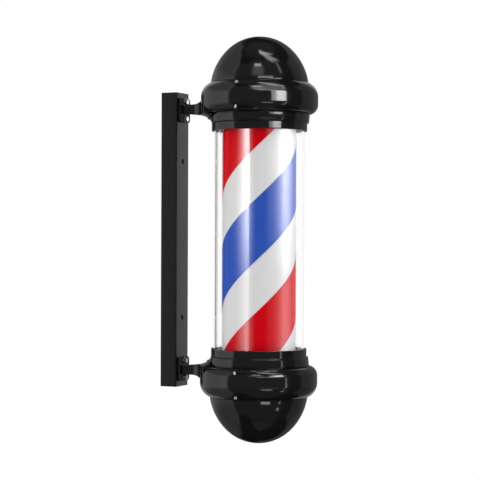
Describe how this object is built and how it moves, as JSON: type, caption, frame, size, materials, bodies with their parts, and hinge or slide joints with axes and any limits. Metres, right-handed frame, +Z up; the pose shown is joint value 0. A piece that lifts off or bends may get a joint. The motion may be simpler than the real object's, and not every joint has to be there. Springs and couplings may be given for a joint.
{
  "type": "barber pole",
  "caption": "Wall-hung barber pole: a helically striped drum turns in a clear tube between domed black caps, held off a folded wall channel by cast arms.",
  "frame": {"origin": "centre of the wall channel's rear rim, the face that bears on the wall, at the pole's mid-height", "axes": "+Z up along the pole, +Y into the wall (the rear rim's outward normal), +X to the right for someone facing the wall; the pole's axis is 173 mm in front of the wall"},
  "size_m": [0.1966, 0.2703, 0.674],
  "materials": {
    "cap_black": "gloss black stove enamel on cast caps",
    "arm_black": "gloss black stove enamel on cast arms",
    "channel_black": "satin black powder coat on folded sheet",
    "zinc": "bright zinc plate",
    "plate_steel": "bare zinc-coated sheet",
    "tube_clear": "clear, polished",
    "rubber_black": "soft, matt",
    "drum_white": "translucent white, satin gloss",
    "film_red": "glossy printed film",
    "film_blue": "glossy printed film",
    "disc_white": "moulded, matt",
    "bush_nylon": "unfilled nylon",
    "holder_white": "moulded, glossy",
    "lamp_white": "frosted",
    "motor_can": "drawn steel can",
    "terminal_white": "moulded"
  },
  "bodies": {
    "bracket_and_caps": {"wall_channel": "channel_black", "upper_arm": "arm_black", "lower_arm": "arm_black", "arm_bolts": "zinc", "arm_washers": "zinc", "arm_nuts": "zinc", "upper_collar": "cap_black", "lower_collar": "cap_black", "upper_band": "cap_black", "lower_band": "cap_black", "upper_dome": "cap_black", "lower_dome": "cap_black", "collar_screws": "zinc", "dome_screws": "zinc", "saddle_screws": "zinc", "cable_grommet": "rubber_black", "glass_tube": "tube_clear", "upper_gasket": "rubber_black", "lower_gasket": "rubber_black", "upper_plate": "plate_steel", "lower_plate": "plate_steel", "plate_screws": "zinc", "top_bush": "bush_nylon", "lamp_holder": "holder_white", "lamp_screws": "zinc", "led_lamp": "lamp_white", "motor": "motor_can", "motor_screws": "zinc", "motor_nuts": "zinc", "thrust_washer": "bush_nylon", "terminal_block": "terminal_white", "terminal_screws": "zinc"},
    "drum": {"drum_shell": "drum_white", "red_stripe": "film_red", "blue_stripe": "film_blue", "drum_top_disc": "disc_white", "drum_bottom_disc": "disc_white", "drum_screws": "zinc", "motor_shaft": "zinc", "hub_screw": "zinc"}
  },
  "joints": [
    {"name": "drum_spin", "type": "hinge", "parent": "bracket_and_caps", "child": "drum", "pos_m": [0, -0.173, 0], "axis": [0, 0, 1], "continuous": true}
  ]
}
